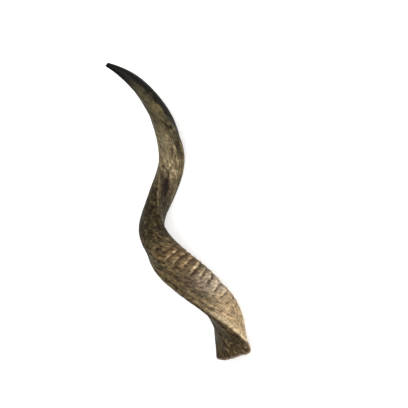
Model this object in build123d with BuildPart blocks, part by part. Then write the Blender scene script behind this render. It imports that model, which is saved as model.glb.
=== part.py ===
"""A shofar: one long antelope horn, wound to the left, lying on a table.

The horn's middle follows a coil of about one and a half turns round a straight axis. Round it the
horn is a rounded triangle that grows from the tip to the bell, with a strong keel on one side, a
weaker ridge towards the axis and a low heel on the back. The tip is solid but for a drilled bore
with a small cup for the lips. Behind the bore the natural hollow widens to the open bell.

The real horn is a single piece. It is modelled as the stretches that a horn worker names. They
meet face to face, so that each hollow stretch keeps a simple shape.
"""

from build123d import *
from math import cos, exp, pi, radians, sin
import os

# The coil, from the tip (station 0) to the bell (station 1). Lengths are in millimetres and
# bearings in degrees, counted round the coil's axis.
coil_length = 600.0
coil_turns = 1.49
coil_gather = 0.105
tip_bearing = 223.0
coil_radius = {0.0: 58.0, 0.15: 29.0, 0.4: 45.0, 0.7: 46.5, 1.0: 37.0}

# Half the horn's thickness along the coil, a curve in a power of the station
half_width = {0.0: 4.0, 0.06: 10.7, 0.2: 18.5, 0.4: 21.5, 0.65: 27.2, 0.85: 29.8, 1.0: 29.6}
width_power = 0.7

# The section's features, each at the tip and at the bell: their bearing round the horn, counted
# from the side that faces the coil's axis, and their height as a share of the half width
keel_bearing = (120.0, 103.0)
keel_rise = (0.20, 0.50)
keel_spread = 20.0
ridge_bearing = (-10.0, -50.0)
ridge_rise = (0.25, 0.165)
ridge_spread = 23.0
heel_bearing = (208.0, 208.0)
heel_rise = (0.0, 0.30)
heel_spread = 35.0
flat_bearing = (240.0, 240.0)
flat_rise = (0.0, -0.15)
flat_spread = 20.0
oval_bearing = (111.0, 100.0)
oval_rise = (-0.03, 0.155)

# The bell's sawn rim: where it crosses the middle, its slant from the coil's axis and the
# bearing that it slants to
rim_station = 0.97
rim_slant = 50.0
rim_bearing = -55.0

# The way through: the lips' cup, the drilled bore and the natural hollow
bore_diameter = 3.4
bore_end = 0.085
cup_diameter = 5.6
cup_depth = 3.0
bore_overrun = 1.2
bell_wall = 4.6
wall_taper = 0.8
hollow_likeness = 0.95
opening_share = 0.25
hollow_shift = 2.2
hollow_shift_bearing = 190.0
mouth_trim = 1.6

# The stretches behind the tip, by the stations where each one starts
stretch_starts = {"upper_turn": bore_end, "middle_turn": 0.38, "ridged_turn": 0.62, "bell_end": 0.82}

# How closely the surfaces follow the formulas
sections_per_coil = 18
fewest_sections = 3
face_points = 10
back_points = 18
tangent_step = 0.002
overrun = 1.14

# How the horn lies: rolled about the coil's axis, then with its bell end down a little, so that
# the keel of the middle turn and the back of the bell both touch the table
lie_roll = -29.5
lie_pitch = 2.05


def through(pairs, x, power=1.0):
    """The smooth curve through station: value pairs, read at station x."""
    total = 0.0
    for station, value in pairs.items():
        share = 1.0
        for other in pairs:
            if other != station:
                share *= (x**power - other**power) / (station**power - other**power)
        total += value * share
    return total


def along(ends, t):
    """A value that goes evenly from its value at the tip to its value at the bell."""
    return ends[0] + (ends[1] - ends[0]) * t


def middle(t):
    """The point of the coil at station t, with the coil's axis along +X and the tip at X = 0."""
    bearing = radians(tip_bearing) + 2 * pi * coil_turns * (t + coil_gather * t * (1 - t))
    radius = through(coil_radius, t)
    return Vector(coil_length * t, radius * cos(bearing), -radius * sin(bearing))


def swelling(angle, bearing, spread):
    """A rounded swelling of height one at a bearing, read at an angle."""
    away = (angle - bearing + 180) % 360 - 180
    return exp(-((away / spread) ** 2))


def section_radius(t, angle, size, likeness):
    """The section's radius towards an angle, round at likeness 0 and horn-shaped at 1."""
    shape = along(oval_rise, t) * cos(2 * radians(angle - along(oval_bearing, t)))
    shape += along(keel_rise, t) * swelling(angle, along(keel_bearing, t), keel_spread)
    shape += along(ridge_rise, t) * swelling(angle, along(ridge_bearing, t), ridge_spread)
    shape += along(heel_rise, t) * swelling(angle, along(heel_bearing, t), heel_spread)
    shape += along(flat_rise, t) * swelling(angle, along(flat_bearing, t), flat_spread)
    return size * (1 + likeness * shape)


def section_plane(t):
    """The plane across the horn at station t, with its X towards the coil's axis."""
    forward = (middle(t + tangent_step) - middle(t - tangent_step)).normalized()
    centre = middle(t)
    inward = Vector(0, -centre.Y, -centre.Z)
    inward = (inward - forward * inward.dot(forward)).normalized()
    return Plane(origin=centre, x_dir=inward, z_dir=-forward)


def half_width_at(t):
    """Half the horn's thickness at station t, steady past the last station."""
    return through(half_width, min(t, 1.0), width_power)


def outside(t):
    """The outside's size, likeness and shift at station t."""
    return half_width_at(t), 1.0, 0.0


def inside(t):
    """The hollow's size, likeness and shift at station t: the bore's size where the bore ends."""
    share = (t - bore_end) / (1 - bore_end)
    first_wall = half_width_at(bore_end) - bore_diameter / 2
    wall = bell_wall + (first_wall - bell_wall) * max(0.0, 1 - share) ** wall_taper
    opening_up = min(1.0, share / opening_share)
    shift = hollow_shift * opening_up * max(0.0, 1 - share)
    return half_width_at(t) - wall, hollow_likeness * opening_up, shift


def arc_points(t, first, last, count, size, likeness, shift):
    """Points of a section between two bearings, in the section's own plane."""
    points = []
    for i in range(count + 1):
        angle = first + (last - first) * i / count
        radius = section_radius(t, angle, size, likeness)
        turn, away = radians(angle), radians(hollow_shift_bearing)
        points.append((radius * cos(turn) - shift * cos(away), radius * sin(turn) - shift * sin(away)))
    return points


def face_and_back(t, kind):
    """A section's two arcs: the face from ridge to keel, then the back round to the ridge."""
    ridge, keel = along(ridge_bearing, t), along(keel_bearing, t)
    face = arc_points(t, ridge, keel, face_points, *kind(t))
    back = arc_points(t, keel, ridge + 360, back_points, *kind(t))
    return face, back


def stations(start, end):
    """Evenly spaced stations over a stretch, both ends included."""
    count = max(fewest_sections, round((end - start) * sections_per_coil))
    return [start + (end - start) * i / count for i in range(count + 1)]


# The tip, sawn square to its bore, with the bore and the lips' cup
mouth = middle(0.0)
bore_direction = (middle(bore_end) - mouth).normalized()
mouth_plane = Plane(origin=mouth + bore_direction * mouth_trim, z_dir=bore_direction)
bore_reach = bore_overrun * (middle(bore_end) - mouth).length

with BuildPart() as mouth_tip:
    for t in stations(0.0, bore_end):
        with BuildSketch(section_plane(t)):
            with BuildLine():
                for points in face_and_back(t, outside):
                    Spline(points)
            make_face()
    loft()
    split(bisect_by=mouth_plane, keep=Keep.TOP)
    with BuildSketch(mouth_plane):
        Circle(bore_diameter / 2)
    extrude(amount=bore_reach, mode=Mode.SUBTRACT)
    with BuildSketch(mouth_plane):
        Circle(cup_diameter / 2)
    with BuildSketch(mouth_plane.offset(cup_depth)):
        Circle(bore_diameter / 2)
    loft(mode=Mode.SUBTRACT)

# The hollow stretches behind it, the last one sawn off along the rim
slant, round_to = radians(rim_slant), radians(rim_bearing)
rim_normal = Vector(cos(slant), sin(slant) * cos(round_to), sin(slant) * sin(round_to))
rim_plane = Plane(origin=middle(rim_station), z_dir=rim_normal)
starts = list(stretch_starts.values())
ends = starts[1:] + [overrun]

horn = {"mouth_tip": mouth_tip.part}
for name, start, end in zip(stretch_starts, starts, ends):
    with BuildPart() as stretch:
        for kind, mode in ((outside, Mode.ADD), (inside, Mode.SUBTRACT)):
            for t in stations(start, end):
                with BuildSketch(section_plane(t)):
                    with BuildLine():
                        for points in face_and_back(t, kind):
                            Spline(points)
                    make_face()
            loft(mode=mode)
        if end == overrun:
            split(bisect_by=rim_plane, keep=Keep.BOTTOM)
    horn[name] = stretch.part

# Laid on the table, with the origin under the middle of its box
lie = Rot(0, lie_pitch, 0) * Rot(lie_roll, 0, 0)
box = Compound([lie * part for part in horn.values()]).bounding_box()
place = Pos(-box.center().X, -box.center().Y, -box.min.Z) * lie

os.makedirs("parts", exist_ok=True)
for name, part in horn.items():
    laid = place * part
    laid.label = name
    export_step(laid, f"parts/{name}.step")

for name, plane in (("mouth", mouth_plane), ("rim", rim_plane)):
    laid_plane = Plane(place * plane.location)
    print(name, "centre", laid_plane.origin, "normal", laid_plane.z_dir)
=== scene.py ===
"""A shofar: one long kudu horn lying on a table, wound to the left, dark at the tip and tan at the bell.

The horn is one closed skin, worked out on a grid of stations along it and bearings round it. Lengths
are in metres. Bearings are in degrees, counted round the horn from the side that faces the coil's axis.
"""

import bpy
import numpy as np
from mathutils import Matrix, Vector


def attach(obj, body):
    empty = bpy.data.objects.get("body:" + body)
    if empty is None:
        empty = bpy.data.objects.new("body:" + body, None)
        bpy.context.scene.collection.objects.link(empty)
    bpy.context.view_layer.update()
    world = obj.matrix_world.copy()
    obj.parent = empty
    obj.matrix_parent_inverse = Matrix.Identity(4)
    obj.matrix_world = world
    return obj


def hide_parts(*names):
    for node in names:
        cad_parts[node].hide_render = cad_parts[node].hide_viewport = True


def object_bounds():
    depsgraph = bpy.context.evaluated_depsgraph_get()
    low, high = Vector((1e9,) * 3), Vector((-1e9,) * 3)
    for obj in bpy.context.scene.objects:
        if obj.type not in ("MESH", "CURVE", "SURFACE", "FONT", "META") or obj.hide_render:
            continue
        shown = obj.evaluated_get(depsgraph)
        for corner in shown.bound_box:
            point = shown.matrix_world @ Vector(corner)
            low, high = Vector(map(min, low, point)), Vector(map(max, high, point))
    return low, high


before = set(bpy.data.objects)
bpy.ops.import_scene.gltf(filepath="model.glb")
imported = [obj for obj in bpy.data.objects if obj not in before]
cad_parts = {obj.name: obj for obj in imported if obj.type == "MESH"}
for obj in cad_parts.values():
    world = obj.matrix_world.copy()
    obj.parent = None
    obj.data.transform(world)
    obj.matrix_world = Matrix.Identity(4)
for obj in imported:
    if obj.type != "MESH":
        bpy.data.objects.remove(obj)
CAD_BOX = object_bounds()

# The coil and the section, with the sizes of the frame
COIL_LENGTH, COIL_TURNS, COIL_GATHER, TIP_BEARING = 0.600, 1.49, 0.105, 223.0
COIL_RADIUS = {0.0: 0.058, 0.15: 0.029, 0.4: 0.045, 0.7: 0.0465, 1.0: 0.037}
HALF_WIDTH = {0.0: 0.0040, 0.06: 0.0107, 0.2: 0.0185, 0.4: 0.0215, 0.65: 0.0272, 0.85: 0.0298, 1.0: 0.0296}
WIDTH_POWER = 0.7
# name: bearing at the tip and at the bell, height at the tip and at the bell, spread
SWELLINGS = {
    "keel": (120.0, 103.0, 0.20, 0.50, 20.0),
    "ridge": (-10.0, -50.0, 0.25, 0.165, 23.0),
    "heel": (208.0, 208.0, 0.0, 0.30, 35.0),
    "flat": (240.0, 240.0, 0.0, -0.15, 20.0),
}
OVAL = (111.0, 100.0, -0.03, 0.155)
RIM_STATION, RIM_SLANT, RIM_BEARING = 0.97, 50.0, -55.0
BORE_RADIUS, BORE_END, CUP_RADIUS, CUP_DEPTH, MOUTH_TRIM = 0.0017, 0.085, 0.0028, 0.003, 0.0016
BELL_WALL, WALL_TAPER, HOLLOW_LIKENESS, OPENING_SHARE = 0.0046, 0.8, 0.95, 0.25
HOLLOW_SHIFT, SHIFT_BEARING = 0.0022, 190.0
LIE_ROLL, LIE_PITCH = -29.5, 2.05

# The stations of the cross ridges on the horn's back, and how strongly each one stands out
CROSS_RIDGES = {
    0.600: 0.15, 0.622: 0.3, 0.643: 0.45, 0.662: 0.7, 0.680: 0.75, 0.699: 0.6, 0.719: 1.0,
    0.738: 0.7, 0.757: 0.85, 0.783: 0.75, 0.805: 0.6, 0.828: 0.55, 0.850: 0.5, 0.870: 0.35,
}
# Steps of the ridge profile along the horn, about 0.8 mm each, and a full lip's height and furrow's depth
RIDGE_STEPS, LIP_HEIGHT, FURROW_DEPTH = 880.0, 0.0020, 0.0012
# Drying cracks: station and bearing of both ends, width in degrees, depth
CRACKS = (
    (0.180, 129.0, 0.300, 66.0, 2.8, 0.0007),
    (0.240, 84.0, 0.330, 46.0, 2.2, 0.0005),
    (0.300, 92.0, 0.420, 70.0, 2.4, 0.0005),
    (0.360, 22.0, 0.455, 4.0, 3.4, 0.0009),
    (0.410, 52.0, 0.500, 30.0, 2.4, 0.0005),
    (0.600, 128.0, 0.860, 117.0, 2.0, 0.0006),
    (0.640, 146.0, 0.800, 138.0, 1.8, 0.0004),
    (0.200, 300.0, 0.380, 268.0, 2.4, 0.0005),
    (0.480, 150.0, 0.640, 168.0, 2.2, 0.0005),
    (0.860, 60.0, 0.970, 48.0, 2.2, 0.0006),
    (0.880, 20.0, 0.985, 12.0, 2.0, 0.0005),
)

# Points round each ring, and rings along the outside, up the hollow and for measuring the smooth horn
AROUND = 200
OUTER_ROWS = 430
HOLLOW_ROWS = 40
BOX_ROWS = 400
# The rounding of the rim's outer edge, the polish of the parts, and the colours' limits
RIM_ROUNDING = 0.0009
RIM_POLISH, HOLLOW_POLISH, TIP_POLISH = -0.6, -0.8, 0.6
DARKEST, PALEST = 0.004, 0.9


def smooth(x, low, high):
    """Rises from 0 at low to 1 at high, level at both ends."""
    share = np.clip((x - low) / (high - low), 0.0, 1.0)
    return share * share * (3.0 - 2.0 * share)


def away(angle, bearing):
    """Degrees from a bearing to an angle, between -180 and 180."""
    return (angle - bearing + 180.0) % 360.0 - 180.0


def hump(x, width):
    """A rounded hump of height 1 at x = 0."""
    return np.exp(-((x / width) ** 2))


def grit(points, size, seed):
    """Smooth random lumps, -1 to 1: random numbers on a lattice of a given size, blended between corners."""
    table = np.random.default_rng(seed).uniform(-1.0, 1.0, (48, 48, 48))
    where = points / np.asarray(size)
    cell = np.floor(where).astype(int)
    part = where - cell
    part = part * part * (3.0 - 2.0 * part)
    total = np.zeros(points.shape[:-1])
    for corner in range(8):
        step = np.array([corner & 1, corner >> 1 & 1, corner >> 2 & 1])
        share = np.where(step, part, 1.0 - part).prod(axis=-1)
        i, j, k = np.moveaxis((cell + step) % 48, -1, 0)
        total += share * table[i, j, k]
    return total


def through(pairs, x, power=1.0):
    """The smooth curve through station: value pairs, read at the stations x."""
    total = 0.0
    for station, value in pairs.items():
        share = 1.0
        for other in pairs:
            if other != station:
                share = share * (x**power - other**power) / (station**power - other**power)
        total = total + value * share
    return total


def coil(t):
    """The coil's point at station t: it winds round the X axis at a radius that changes along it."""
    bearing = np.radians(TIP_BEARING) + 2 * np.pi * COIL_TURNS * (t + COIL_GATHER * t * (1 - t))
    radius = through(COIL_RADIUS, t)
    return np.stack([COIL_LENGTH * t, radius * np.cos(bearing), -radius * np.sin(bearing)], axis=-1)


def unit(v):
    """A vector's direction."""
    return v / np.linalg.norm(v, axis=-1, keepdims=True)


def cross_frame(t):
    """The coil's point at t, its forward direction, the direction to the axis, and the one across both."""
    forward = unit(coil(t + 0.002) - coil(t - 0.002))
    centre = coil(t)
    inward = centre * (0.0, -1.0, -1.0)
    inward = unit(inward - forward * (inward * forward).sum(axis=-1, keepdims=True))
    return centre, forward, inward, np.cross(-forward, inward)


def half_width(t):
    """The plain section's radius at station t."""
    return through(HALF_WIDTH, np.clip(t, 0.0, 1.0), WIDTH_POWER)


def section(t, angle, likeness=1.0):
    """The section's radius over its half width: an oval, a keel, a ridge, a heel and a flat on a circle."""
    first, last, low, high = OVAL
    shape = (low + (high - low) * t) * np.cos(2 * np.radians(angle - first - (last - first) * t))
    for first, last, low, high, spread in SWELLINGS.values():
        shape = shape + (low + (high - low) * t) * hump(away(angle, first + (last - first) * t), spread)
    return 1.0 + likeness * shape


def skin(t, angle, raised=0.0):
    """The outside at station t and bearing angle, raised outwards by a height."""
    centre, _, inward, across = cross_frame(t)
    radius = (half_width(t) * section(t, angle) + raised)[..., None]
    turn = np.radians(angle)[..., None]
    return centre + radius * (np.cos(turn) * inward + np.sin(turn) * across)


def hollow(t, angle):
    """The hollow's wall at station t: the outside's shape less a wall that thins to the bell."""
    centre, _, inward, across = cross_frame(t)
    share = (t - BORE_END) / (1 - BORE_END)
    first_wall = half_width(np.array(BORE_END)) - BORE_RADIUS
    wall = BELL_WALL + (first_wall - BELL_WALL) * np.clip(1 - share, 0.0, 1.0) ** WALL_TAPER
    opening = np.clip(share / OPENING_SHARE, 0.0, 1.0)
    shift = HOLLOW_SHIFT * opening * np.clip(1 - share, 0.0, 1.0)
    radius = (half_width(t) - wall) * section(t, angle, HOLLOW_LIKENESS * opening)
    turn, off = np.radians(angle), np.radians(SHIFT_BEARING)
    x = (radius * np.cos(turn) - shift * np.cos(off))[..., None]
    y = (radius * np.sin(turn) - shift * np.sin(off))[..., None]
    return centre + x * inward + y * across


def crossing(surface, angle, point, normal, low, high):
    """The station where each bearing's line on a surface crosses a plane, by halving."""
    low, high = np.full(angle.shape, low), np.full(angle.shape, high)
    for _ in range(36):
        middle = (low + high) / 2
        before = ((surface(middle, angle) - point) @ normal) < 0
        low, high = np.where(before, middle, low), np.where(before, high, middle)
    return low


def lie(points):
    """Rolls and pitches points from the coil's frame to the way the horn lies."""
    roll, pitch = np.radians(LIE_ROLL), np.radians(LIE_PITCH)
    x, y, z = points[..., 0], points[..., 1], points[..., 2]
    y, z = y * np.cos(roll) - z * np.sin(roll), y * np.sin(roll) + z * np.cos(roll)
    x, z = x * np.cos(pitch) + z * np.sin(pitch), z * np.cos(pitch) - x * np.sin(pitch)
    return np.stack([x, y, z], axis=-1)


def length_along(t):
    """The length along the coil from the tip to station t."""
    fine = np.linspace(-0.02, 1.2, 1500)
    steps = np.linalg.norm(np.diff(coil(fine), axis=0), axis=1)
    return np.interp(t, fine, np.concatenate([[0.0], np.cumsum(steps)]))


def grain_place(t, angle):
    """The place in the straightened horn: across it in X and Y, along it in Z."""
    turn, radius = np.radians(angle), half_width(t) * 1.15
    return np.stack([radius * np.cos(turn), radius * np.sin(turn), length_along(t)], axis=-1)


def ridge_profile(t, angle, grain):
    """The cross ridges: each rises slowly towards the bell to a lip, then drops into a furrow.

    Returns the height, and the lip's and furrow's strengths, which set the painted highlights on the lips
    and the painted shade in the furrows. The lips wave a little and fade towards the keel and the axis.
    """
    wave = 0.0035 * grit(grain, 0.022, 21) + 0.0015 * grit(grain, 0.008, 22) - 0.00001 * away(angle, 235.0)
    start = 166.0 - 150.0 * (t - 0.7) + 12.0 * grit(grain, 0.03, 24)
    reach = smooth(angle, start, start + 34.0) * (1 - smooth(angle, 300.0, 338.0))
    height, lip, furrow = 0.0, 0.0, 0.0
    for station, strength in CROSS_RIDGES.items():
        x = (t + wave - station) * RIDGE_STEPS
        rise = np.exp(np.minimum(x, 0.0) / 4.5) * (x < 0) + hump(x, 1.7) * (x >= 0)
        past = np.clip(x, 0.0, 60.0) / 3.2
        drop = past * np.exp(1 - past)
        height = height + strength * (LIP_HEIGHT * rise - FURROW_DEPTH * drop)
        crest = hump(np.minimum(x, 0.0), 3.8) * (x < 0) + hump(x, 1.6) * (x >= 0)
        lip = np.maximum(lip, strength * crest)
        furrow = np.maximum(furrow, strength * drop)
    broken = 0.65 + 0.35 * grit(grain, (0.012, 0.012, 0.03), 23)
    return height * reach * broken, lip * reach * broken, furrow * reach


def crack_depth(t, angle, grain):
    """The drying cracks: straight lines between two stations and bearings, wavering a little.

    Returns how deep they cut and how dark their lines are.
    """
    depth, line = 0.0, 0.0
    for start, first, end, last, width, deep in CRACKS:
        share = (t - start) / (end - start)
        centre = first + (last - first) * share + 2.5 * grit(grain, 0.03, int(deep * 1e5))
        fade = smooth(share, 0.0, 0.12) * (1 - smooth(share, 0.85, 1.0))
        cut = hump(away(angle, centre), width) * fade
        depth = depth + deep * cut
        line = np.maximum(line, cut * deep / 0.0007)
    return depth, line


def keel_at(t):
    """The keel's bearing at station t."""
    return 120.0 - 17.0 * t


def ridge_at(t):
    """The bearing of the ridge along the inner face at station t."""
    return -10.0 - 40.0 * t


def relief(t, angle):
    """Everything that stands out of the smooth horn or is cut into it."""
    grain = grain_place(t, angle)
    height, lip, furrow = ridge_profile(t, angle, grain)
    crack, line = crack_depth(t, angle, grain)
    rough = smooth(t, 0.05, 0.35)
    back = smooth(t, 0.40, 0.60)
    fibres = 0.00030 * grit(grain, (0.0042, 0.0042, 0.075), 3)
    fibres = fibres + 0.00016 * grit(grain, (0.0022, 0.0022, 0.04), 4)
    lumps = 0.00055 * grit(grain, (0.016, 0.016, 0.035), 5)
    pits = -0.00035 * smooth(grit(grain, (0.0045, 0.0045, 0.008), 6), 0.25, 0.7)
    keel = hump(away(angle, keel_at(t)), 7.0) * smooth(t, 0.25, 0.6)
    keel_nicks = 0.0006 * keel * grit(grain, (0.006, 0.006, 0.012), 7)
    total = height - crack + rough * (fibres + lumps) + back * pits + keel_nicks
    return total, lip, furrow, line


def colour(red, green, blue):
    """A linear colour from its screen values, 0 to 255."""
    c = np.array([red, green, blue]) / 255.0
    return np.where(c <= 0.04045, c / 12.92, ((c + 0.055) / 1.055) ** 2.4)


def lay(under, tint, share):
    """Lays a tint over the colours, by a share from 0 to 1."""
    share = np.clip(share, 0.0, 1.0)[..., None]
    return under * (1 - share) + tint * share


# The body's colour along the horn, before patches
BODY = {
    0.00: colour(12, 12, 11), 0.06: colour(28, 27, 22), 0.11: colour(68, 61, 42), 0.20: colour(86, 77, 55),
    0.28: colour(114, 103, 78), 0.36: colour(104, 90, 65), 0.42: colour(82, 71, 50), 0.47: colour(60, 51, 33),
    0.53: colour(56, 47, 29), 0.60: colour(82, 70, 48), 0.68: colour(100, 85, 59), 0.75: colour(128, 110, 82),
    0.82: colour(160, 139, 108), 0.90: colour(174, 150, 112), 1.02: colour(174, 150, 112),
}


def between(t, start, full, fading, gone):
    """Rises from 0 at start to 1 at full, and falls again from fading to 0 at gone."""
    return smooth(t, start, full) * (1 - smooth(t, fading, gone))


def spot(t, angle, station, length, bearing, width):
    """A rounded spot of height 1 on the horn, at a station and a bearing."""
    return hump(t - station, length) * hump(away(angle, bearing), width)


def varied(tint, pattern):
    """A colour made lighter and darker by a pattern round 0."""
    return tint * (1 + pattern)[..., None]


def random_marks(grain):
    """The random patterns, about -1 to 1, that the colours share, by name."""
    return {
        "blotch": grit(grain, (0.012, 0.012, 0.030), 31),
        "fleck": grit(grain, (0.0042, 0.0042, 0.0070), 32),
        "speck": grit(grain, (0.0026, 0.0026, 0.0038), 36) + 0.6 * grit(grain, (0.0036, 0.0036, 0.0045), 37),
        "streak": grit(grain, (0.0034, 0.0034, 0.045), 33),
        "wide_streak": grit(grain, (0.007, 0.007, 0.10), 34),
        "rosy": grit(grain, (0.0034, 0.0034, 0.0070), 35),
        "fine": grit(grain, (0.0024, 0.0024, 0.0030), 38) + 0.7 * grit(grain, (0.0036, 0.0036, 0.0052), 39),
    }


def paint_upper_turn(body, t, angle, marks):
    """The dark band, olive blotches, streaks, cream scars and near-black patch of the upper turn."""
    blotch, fleck, speck, streak = (marks[name] for name in ("blotch", "fleck", "speck", "streak"))
    # the dark band along the outer edge
    off_band = away(angle, 276.0 - 430.0 * t + 24.0 * blotch + 16.0 * fleck)
    band = (1 - smooth(np.abs(off_band), 40.0, 72.0)) * between(t, 0.02, 0.07, 0.25, 0.38)
    body = lay(body, colour(16, 12, 7), 0.95 * band)
    # a pale wash, and yellow-olive blotches behind the tip
    wash = spot(t, angle, 0.295, 0.07, 345.0, 42.0)
    body = lay(body, colour(136, 127, 100), 0.5 * wash * (1 + 0.5 * streak))
    olive = smooth(blotch + 0.4 * fleck, 0.10, 0.6) * between(t, 0.07, 0.12, 0.2, 0.3)
    body = lay(body, colour(98, 86, 48), 0.35 * olive * (1 - band))
    # pale and dark streaks on the face
    face = 1 - smooth(np.abs(away(angle, 70.0 - 140.0 * (t - 0.3))), 30.0, 62.0)
    pale = smooth(streak + 0.6 * fleck + 0.3 * marks["wide_streak"], 0.30, 0.85)
    body = lay(body, colour(158, 140, 106), 0.5 * pale * between(t, 0.2, 0.32, 0.40, 0.46) * face)
    dark = smooth(-streak - 0.4 * fleck, 0.2, 0.8) * between(t, 0.12, 0.3, 0.62, 0.80)
    body = lay(body, colour(60, 46, 26), 0.5 * dark)
    # cream scars and dark pits above the patch
    scars = smooth(speck + 0.7 * fleck, 0.35, 1.0) * spot(t, angle, 0.365, 0.04, 30.0, 34.0)
    body = lay(body, colour(196, 178, 142), 0.6 * scars)
    pits = smooth(-speck - 0.7 * fleck, 0.35, 1.0) * spot(t, angle, 0.375, 0.05, 20.0, 40.0)
    body = lay(body, colour(46, 34, 18), 0.8 * pits)
    # the near-black patch beside the ridge on the inner face, and the shaded side beyond it
    patch = spot(t, angle, 0.416, 0.034, 9.0 + 8.0 * blotch, 27.0)
    body = lay(body, colour(34, 23, 20), 1.7 * patch * (0.8 + 0.3 * fleck))
    return lay(body, colour(66, 56, 38), 0.5 * spot(t, angle, 0.40, 0.05, 112.0, 28.0))


def paint_dark_stretch(body, t, angle, marks):
    """The dark, mottled stretch before the middle turn's back, with a pale line along the ridge."""
    fleck, speck = marks["fleck"], marks["speck"]
    mottled = between(t, 0.40, 0.47, 0.57, 0.66) * smooth(away(angle, 270.0), -80.0, -40.0)
    mottled = mottled * (1 - smooth(away(angle, ridge_at(t)), -4.0, 4.0) * (away(angle, 270.0) > 0))
    body = lay(body, varied(colour(48, 39, 22), 0.6 * fleck + 0.5 * speck), 0.75 * mottled)
    left = hump(away(angle, 255.0 - 650.0 * (t - 0.46)), 24.0) * between(t, 0.42, 0.46, 0.57, 0.62)
    body = lay(body, colour(30, 32, 18), 0.75 * left)
    pale = smooth(speck + 0.3 * fleck, 0.3, 0.9) * between(t, 0.42, 0.52, 0.78, 0.9)
    body = lay(body, colour(132, 116, 88), 0.26 * pale)
    dark = smooth(-fleck - 0.5 * speck, 0.25, 0.8) * smooth(t, 0.40, 0.50) * (1 - 0.7 * smooth(t, 0.72, 0.84))
    body = lay(body, colour(34, 23, 10), 0.6 * dark)
    # a pale line along the ridge's crest
    pale_ridge_line = hump(away(angle, ridge_at(t)), 3.5) * between(t, 0.36, 0.40, 0.46, 0.53)
    return lay(body, colour(136, 120, 92), 0.6 * pale_ridge_line * (0.8 + 0.4 * fleck))


def paint_ridged_turn(body, t, angle, marks, lip, furrow):
    """The facet beside the keel with painted shade along the keel, and the browns, greys, painted shade in
    the furrows and painted highlights on the lips of the cross ridges.
    """
    blotch, fleck, speck = marks["blotch"], marks["fleck"], marks["speck"]
    # the long-fibred facet between the keel and the cross ridges, and painted shade as a dark strip along the
    # keel
    off_keel = away(angle, keel_at(t))
    facet = between(off_keel, -2.0, 10.0, 34.0, 62.0) * (1 - smooth(t, 0.78, 0.86))
    facet = facet * (0.5 * smooth(t, 0.56, 0.63) + 0.5 * smooth(t, 0.66, 0.74))
    body = lay(body, varied(colour(88, 76, 51), 0.5 * marks["streak"] + 0.4 * speck), 0.75 * facet)
    keel_shade = hump(away(angle, keel_at(t) - 4.0), 9.0) * between(t, 0.66, 0.75, 0.81, 0.86)
    body = lay(body, colour(24, 23, 13), 0.95 * keel_shade * (0.9 + 0.3 * fleck))
    # reddish brown between the ridges, a purplish brown where they run out, and pale grey patches
    ridged = between(t, 0.62, 0.67, 0.72, 0.80) * smooth(angle, 175.0, 205.0) * (angle < 330)
    reddish = varied(colour(110, 82, 52), 0.5 * fleck + 0.4 * speck)
    body = lay(body, reddish, 0.55 * ridged * (0.8 + 0.4 * blotch))
    brown = spot(t, angle, 0.735, 0.045, 168.0, 26.0)
    body = lay(body, varied(colour(68, 52, 38), 0.4 * fleck), 0.85 * brown)
    grey = spot(t, angle, 0.772, 0.036, 206.0, 40.0)
    body = lay(body, varied(colour(198, 180, 160), 0.3 * speck), 0.75 * grey * (0.9 + 0.5 * blotch))
    # painted shade darkens the furrows, and painted highlights lighten the lips of the cross ridges
    body = lay(body, colour(50, 36, 20), 0.85 * smooth(furrow, 0.2, 0.8) * (0.85 + 0.4 * fleck))
    return lay(body, colour(206, 186, 148), 0.85 * smooth(lip, 0.2, 0.75) * (0.75 + 0.6 * speck))


def paint_bell(body, t, angle, marks):
    """The bell's rosy brown specks, a painted highlight along the keel's crest and painted shade on the face
    under it.
    """
    fleck, speck = marks["fleck"], marks["speck"]
    rosy = smooth(marks["rosy"] + 0.5 * speck, 0.1, 0.9) * smooth(t, 0.74, 0.84)
    body = lay(body, colour(138, 106, 78), 0.45 * rosy)
    # painted shade: the face under the keel is darkened, with fibres and flecks in it
    line_at = keel_at(t) + 3.0 + 30.0 * (t - 0.80)
    under = (1 - smooth(away(angle, line_at + 1.5 * fleck), -2.5, 2.0)) * (away(angle, line_at) > -170.0)
    under = under * smooth(t, 0.66, 0.78) * (1 - smooth(-away(angle, 20.0), 70.0, 110.0))
    shaded_face_tint = varied(colour(58, 46, 26), 0.3 * marks["streak"] + 0.7 * fleck + 0.5 * speck)
    body = lay(body, shaded_face_tint, 0.95 * under)
    glints = smooth(speck + 0.5 * fleck, 0.25, 0.9) * smooth(t, 0.88, 0.97) * hump(away(angle, 60.0), 45.0)
    body = lay(body, colour(158, 138, 112), 0.6 * glints * under)
    # painted highlight: a pale line along the keel's crest
    edge = hump(away(angle, line_at + 5.0), 4.5) * smooth(t, 0.80, 0.84)
    return lay(body, colour(206, 186, 152), 0.85 * edge * (0.75 + 0.5 * fleck))


def paint(t, angle, lip, furrow, line):
    """The horn's colour at each point, from the dark tip to the tan bell, with everything laid over it."""
    marks = random_marks(grain_place(t, angle))
    stops = sorted(BODY)
    body = np.stack([np.interp(t, stops, [BODY[s][c] for s in stops]) for c in range(3)], axis=-1)
    mottle = 0.25 * smooth(t, 0.06, 0.16) + 0.6 * smooth(t, 0.33, 0.44) - 0.3 * smooth(t, 0.74, 0.84)
    body = varied(body, 0.18 * marks["blotch"] + 0.20 * marks["streak"] + 0.14 * marks["wide_streak"])
    body = varied(body, (0.12 + 0.34 * mottle) * marks["fleck"] + (0.08 + 0.36 * mottle) * marks["speck"])
    body = paint_upper_turn(body, t, angle, marks)
    body = paint_dark_stretch(body, t, angle, marks)
    body = paint_ridged_turn(body, t, angle, marks, lip, furrow)
    body = paint_bell(body, t, angle, marks)
    body = lay(body, colour(36, 25, 14), 0.8 * line)
    # fine mottling over everything but the smooth tip
    body = varied(body, (0.26 + 0.34 * mottle) * marks["fine"] * smooth(t, 0.05, 0.12))
    return np.clip(body, DARKEST, PALEST)


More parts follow.
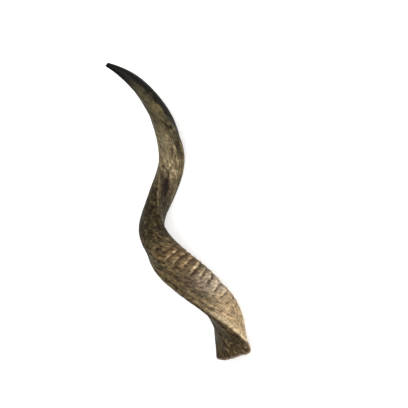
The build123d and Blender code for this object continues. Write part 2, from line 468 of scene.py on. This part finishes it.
def mouth_end():
    """The mouth's centre and the bore's direction into the horn."""
    mouth = coil(np.array(0.0))
    bore = unit(coil(np.array(BORE_END)) - mouth)
    return mouth + bore * MOUTH_TRIM, bore


def rim_plane():
    """The sawn rim's centre and outward normal."""
    slant, turn = np.radians(RIM_SLANT), np.radians(RIM_BEARING)
    normal = np.array([np.cos(slant), np.sin(slant) * np.cos(turn), np.sin(slant) * np.sin(turn)])
    return coil(np.array(RIM_STATION)), normal


def place_in_frame(start, end, angle):
    """The shift that lays the smooth horn's box on the frame's, level with its bottom."""
    share = np.linspace(0.0, 1.0, BOX_ROWS)[:, None]
    plain = lie(skin(start + (end - start) * share, np.broadcast_to(angle, (BOX_ROWS, AROUND))))
    low, high = plain.min(axis=(0, 1)), plain.max(axis=(0, 1))
    cad_low, cad_high = (np.array(corner) for corner in CAD_BOX)
    place = (cad_low + cad_high) / 2 - (low + high) / 2
    place[2] = cad_low[2] - low[2]
    return place


def rim_fray(angle):
    """How far the hand-sawn rim runs past its plane at each bearing, in stations."""
    ring = np.stack([np.cos(np.radians(angle)), np.sin(np.radians(angle)), 0 * angle], axis=-1)
    fray = 0.0016 * grit(ring, 0.30, 41) + 0.0009 * grit(ring, 0.11, 42) + 0.0005 * grit(ring, 0.05, 43)
    return fray - 0.003 * hump(away(angle, 322.0), 12.0) + 0.0065 * hump(away(angle, 98.0), 16.0)


def outer_skin(start, end, angle):
    """The outside from the mouth to the rim: the smooth skin raised by its relief, its two edges rounded."""
    share = np.linspace(0.0, 1.0, OUTER_ROWS)[:, None]
    t = start + (end - start) * share
    around = np.broadcast_to(angle, t.shape)
    raised, lip, furrow, line = relief(t, around)
    grain = grain_place(t, around)
    to_rim = length_along(np.broadcast_to(end, t.shape)) - length_along(t)
    from_mouth = length_along(t) - length_along(np.broadcast_to(start, t.shape))
    edge = RIM_ROUNDING * hump(to_rim, 0.0011) + 0.0005 * hump(from_mouth, 0.0008)
    points = skin(t, around, raised * smooth(from_mouth, 0.0, 0.02) - edge)
    worn_rim = hump(to_rim, 0.0030) * (0.8 + 0.4 * grit(grain, 0.006, 44))
    tint = lay(paint(t, around, lip, furrow, line), colour(186, 164, 146), 0.85 * worn_rim)
    return points, tint, grain, smooth(t, 0.25, 0.05), raised[-1]


def sawn_rim(outer_end, inner_end, angle, raised, outer_grain):
    """The rim: straight across from the outside's edge to the hollow's, crowned a little."""
    _, rim_normal = rim_plane()
    across = np.array([0.06, 0.16, 0.30, 0.44, 0.58, 0.72, 0.86, 0.95])[:, None, None]
    outer_edge = skin(outer_end, angle, raised - RIM_ROUNDING)
    points = outer_edge + (hollow(inner_end, angle) - outer_edge) * across
    grain = outer_grain + (grain_place(inner_end, angle) * (0.8, 0.8, 1.0) - outer_grain) * across
    crown = 0.0007 * (1 - np.abs(2 * across - 1) ** 3) + 0.00025 * grit(grain, 0.0025, 45)[..., None]
    darker = 0.5 + 0.5 * grit(grain, (0.004, 0.004, 0.01), 46)
    tint = lay(np.broadcast_to(colour(176, 154, 130), points.shape), colour(92, 72, 52), darker)
    return points + rim_normal * crown, tint, grain, np.full(points.shape[:2], RIM_POLISH)


def inner_skin(inner_end, angle):
    """The hollow's wall from the rim back to the bore, with painted shade that makes it darker the deeper it
    goes.
    """
    share = np.linspace(0.0, 1.0, HOLLOW_ROWS)[:, None] ** 0.9
    t = inner_end + (BORE_END - inner_end) * share
    around = np.broadcast_to(angle, t.shape)
    points = hollow(t, around)
    grain = grain_place(t, around) * (0.75, 0.75, 1.0)
    # painted shade: the wall darkens from the rim towards the bore
    deep, shallow = colour(58, 44, 30), colour(150, 126, 96)
    tint = deep + (shallow - deep) * smooth(t, 0.45, 0.98)[..., None]
    tint = varied(tint, 0.25 * grit(grain, (0.004, 0.004, 0.03), 47))
    return points, tint, grain, np.full(points.shape[:2], HOLLOW_POLISH)


def blowing_end(angle, first_ring):
    """The drilled bore, the lips' cup and the mouth's end: circles round the bore's axis."""
    mouth_centre, bore = mouth_end()
    _, _, inward, _ = cross_frame(np.array(0.0))
    side = unit(inward - bore * (inward @ bore))
    other = np.cross(-bore, side)
    circle = np.cos(np.radians(angle))[:, None] * side + np.sin(np.radians(angle))[:, None] * other
    reach = np.linalg.norm(coil(np.array(BORE_END)) - mouth_centre)
    # the share of the bore's length from the mouth, and the radius over the bore's
    stops = (
        (0.75, 1.0), (0.5, 1.0), (0.25, 1.0), (CUP_DEPTH / reach, 1.0), (CUP_DEPTH * 0.6 / reach, 1.18),
        (CUP_DEPTH * 0.25 / reach, 1.42), (0.0003 / reach, 1.60), (0.0, CUP_RADIUS / BORE_RADIUS),
    )
    rings = [mouth_centre + bore * (reach * along) + circle * (BORE_RADIUS * wide) for along, wide in stops]
    lips = rings[-1] + (first_ring - rings[-1]) * np.array([0.25, 0.55, 0.82])[:, None, None]
    lips = lips - bore * (0.0002 * np.array([0.4, 1.0, 0.7])[:, None, None])
    points = np.concatenate([np.stack(rings), lips])
    grain = np.stack([points[..., 1], points[..., 2], points[..., 0]], axis=-1)
    tint = np.broadcast_to(colour(70, 64, 56), points.shape)
    return points, tint, grain, np.full(points.shape[:2], TIP_POLISH)


def horn_mesh(points, tints, grains, polish):
    """A mesh of rings, each joined to the next and the last to the first, with its attributes."""
    rows = len(points)
    i, j = np.meshgrid(np.arange(rows), np.arange(AROUND), indexing="ij")
    below, beside = (i + 1) % rows, (j + 1) % AROUND
    corners = [i * AROUND + j, i * AROUND + beside, below * AROUND + beside, below * AROUND + j]
    mesh = bpy.data.meshes.new("horn")
    mesh.from_pydata(points.reshape(-1, 3), [], np.stack(corners, axis=-1).reshape(-1, 4))
    mesh.polygons.foreach_set("use_smooth", np.ones(len(mesh.polygons), dtype=bool))
    colours = np.concatenate([tints, np.ones(tints.shape[:2] + (1,))], axis=-1)
    mesh.attributes.new("tint", "FLOAT_COLOR", "POINT").data.foreach_set("color", colours.ravel())
    mesh.attributes.new("grain", "FLOAT_VECTOR", "POINT").data.foreach_set("vector", grains.ravel())
    mesh.attributes.new("polish", "FLOAT", "POINT").data.foreach_set("value", polish.ravel())
    mesh.update()
    return mesh


def build_horn():
    """The whole horn as one closed skin.

    Down the outside from the mouth to the rim, across the sawn rim, back up the hollow and through
    the drilled bore and the lips' cup to the mouth again: each row of the grid is one ring round the
    horn, and the last row joins the first.
    """
    angle = np.arange(AROUND) * 360.0 / AROUND
    mouth_centre, bore = mouth_end()
    rim_centre, rim_normal = rim_plane()
    start = crossing(skin, angle, mouth_centre, bore, 0.0, 0.03)
    end = crossing(skin, angle, rim_centre, rim_normal, 0.8, 1.15)
    fray = rim_fray(angle)
    inner_end = crossing(hollow, angle, rim_centre, rim_normal, 0.8, 1.15) + 0.8 * fray

    *outside, raised = outer_skin(start, end + fray, angle)
    stretches = (
        outside,
        sawn_rim(end + fray, inner_end, angle, raised, outside[2][-1]),
        inner_skin(inner_end, angle),
        blowing_end(angle, outside[0][0]),
    )
    points, tints, grains, polish = (np.concatenate(rings) for rings in zip(*stretches))
    place = place_in_frame(start, end, angle)
    horn = bpy.data.objects.new("horn", horn_mesh(lie(points) + place, tints, grains, polish))
    bpy.context.collection.objects.link(horn)
    return horn


def horn_material():
    """Natural horn: its painted colour broken up by fine fibres and flecks, satin, with fibre relief."""
    material = bpy.data.materials.new("natural_horn")
    material.use_nodes = True
    nodes, links = material.node_tree.nodes, material.node_tree.links
    shader = nodes["Principled BSDF"]
    tint = nodes.new("ShaderNodeAttribute")
    tint.attribute_name = "tint"
    grain = nodes.new("ShaderNodeAttribute")
    grain.attribute_name = "grain"
    polish = nodes.new("ShaderNodeAttribute")
    polish.attribute_name = "polish"

    def stretched(across, along, detail, roughness):
        """A noise stretched along the grain: its size across and along, in metres."""
        mapping = nodes.new("ShaderNodeMapping")
        mapping.inputs["Scale"].default_value = (1 / across, 1 / across, 1 / along)
        links.new(grain.outputs["Vector"], mapping.inputs["Vector"])
        noise = nodes.new("ShaderNodeTexNoise")
        noise.inputs["Scale"].default_value = 1.0
        noise.inputs["Detail"].default_value = detail
        noise.inputs["Roughness"].default_value = roughness
        links.new(mapping.outputs["Vector"], noise.inputs["Vector"])
        return noise.outputs["Fac"]

    def ranged(value, low, high, new_low, new_high):
        """A value moved from one range to another."""
        node = nodes.new("ShaderNodeMapRange")
        limits = {"From Min": low, "From Max": high, "To Min": new_low, "To Max": new_high}
        for name, number in limits.items():
            node.inputs[name].default_value = number
        links.new(value, node.inputs["Value"])
        return node.outputs["Result"]

    def combined(kind, first, second):
        """Two values, or a value and a number, added, subtracted or multiplied."""
        node = nodes.new("ShaderNodeMath")
        node.operation = kind
        for socket, value in zip(node.inputs, (first, second)):
            if isinstance(value, float):
                socket.default_value = value
            else:
                links.new(value, socket)
        return node.outputs["Value"]

    fine = stretched(0.0011, 0.014, 4.0, 0.6)
    flecks = stretched(0.0022, 0.0045, 3.0, 0.65)
    long_fibres = stretched(0.0026, 0.10, 2.0, 0.5)

    shade = combined("MULTIPLY", ranged(fine, 0.3, 0.7, 0.66, 1.3), ranged(flecks, 0.3, 0.7, 0.62, 1.36))
    shade = combined("MULTIPLY", shade, ranged(long_fibres, 0.3, 0.7, 0.9, 1.1))
    scaled = nodes.new("ShaderNodeVectorMath")
    scaled.operation = "SCALE"
    links.new(tint.outputs["Color"], scaled.inputs[0])
    links.new(shade, scaled.inputs["Scale"])
    links.new(scaled.outputs["Vector"], shader.inputs["Base Color"])

    smoother = combined("MULTIPLY", polish.outputs["Fac"], 0.16)
    roughness = combined("SUBTRACT", ranged(fine, 0.3, 0.7, 0.5, 0.66), smoother)
    links.new(roughness, shader.inputs["Roughness"])
    shader.inputs["Specular IOR Level"].default_value = 0.09

    height = combined("ADD", combined("MULTIPLY", flecks, 0.5), long_fibres)
    height = combined("ADD", combined("MULTIPLY", fine, 0.6), height)
    bump = nodes.new("ShaderNodeBump")
    bump.inputs["Strength"].default_value = 0.5
    bump.inputs["Distance"].default_value = 0.0009
    links.new(height, bump.inputs["Height"])
    links.new(bump.outputs["Normal"], shader.inputs["Normal"])
    return material


horn = build_horn()
horn.data.materials.append(horn_material())
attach(horn, "root")
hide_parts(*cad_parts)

# The table, the lights and the camera
TABLE_HALF, TABLE_GAP = 6.0, 0.0002
low = Vector(CAD_BOX[0])

mesh = bpy.data.meshes.new("table_top")
corners = [(x * TABLE_HALF, y * TABLE_HALF, 0) for x, y in ((-1, -1), (1, -1), (1, 1), (-1, 1))]
mesh.from_pydata(corners, [], [(0, 1, 2, 3)])
table = bpy.data.objects.new("table_top", mesh)
bpy.context.collection.objects.link(table)
table.location.z = low.z - TABLE_GAP
paper = bpy.data.materials.new("pale_table")
paper.use_nodes = True
# a light table: it glows a little, so that the horn's shadow hardly shows
surface = paper.node_tree.nodes["Principled BSDF"].inputs
surface["Base Color"].default_value = (0.9, 0.9, 0.89, 1)
surface["Roughness"].default_value = 0.9
surface["Specular IOR Level"].default_value = 0.1
surface["Emission Color"].default_value = (1, 1, 1, 1)
surface["Emission Strength"].default_value = 0.4
mesh.materials.append(paper)

world = bpy.data.worlds.new("studio")
bpy.context.scene.world = world
bpy.context.scene.view_settings.view_transform = "Standard"
world.use_nodes = True
world.node_tree.nodes["Background"].inputs["Color"].default_value = (1.0, 0.99, 0.97, 1)
world.node_tree.nodes["Background"].inputs["Strength"].default_value = 0.22

VIEW_AZIMUTH, VIEW_ELEVATION, VIEW_ROLL = 76.14, 59.66, -94.14
VIEW_DISTANCE, VIEW_LENS = 9.0, 416.0
aim = Vector((0.0, 0.0405, 0.0078))


def towards(azimuth, elevation):
    """The direction at an azimuth from +X and an elevation from the table."""
    azimuth, elevation = np.radians(azimuth), np.radians(elevation)
    flat = np.cos(elevation)
    return Vector((flat * np.cos(azimuth), flat * np.sin(azimuth), np.sin(elevation)))


def soft_light(name, azimuth, elevation, distance, size, power):
    """A square soft box that faces the horn."""
    lamp = bpy.data.lights.new(name, "AREA")
    lamp.shape, lamp.size, lamp.energy = "SQUARE", size, power
    holder = bpy.data.objects.new(name, lamp)
    bpy.context.collection.objects.link(holder)
    direction = towards(azimuth, elevation)
    holder.location = aim + direction * distance
    holder.rotation_euler = direction.to_track_quat("Z", "Y").to_euler()


soft_light("key_light", 80.0, 64.0, 2.9, 3.2, 108.0)
soft_light("fill_light", 200.0, 60.0, 3.0, 2.6, 14.0)

camera = bpy.data.objects.new("camera", bpy.data.cameras.new("camera"))
bpy.context.collection.objects.link(camera)
camera.data.lens = VIEW_LENS
direction = towards(VIEW_AZIMUTH, VIEW_ELEVATION)
upright = direction.to_track_quat("Z", "Y").to_matrix().to_4x4()
roll = Matrix.Rotation(np.radians(VIEW_ROLL), 4, "Z")
camera.matrix_world = Matrix.Translation(aim + direction * VIEW_DISTANCE) @ upright @ roll
bpy.context.scene.camera = camera
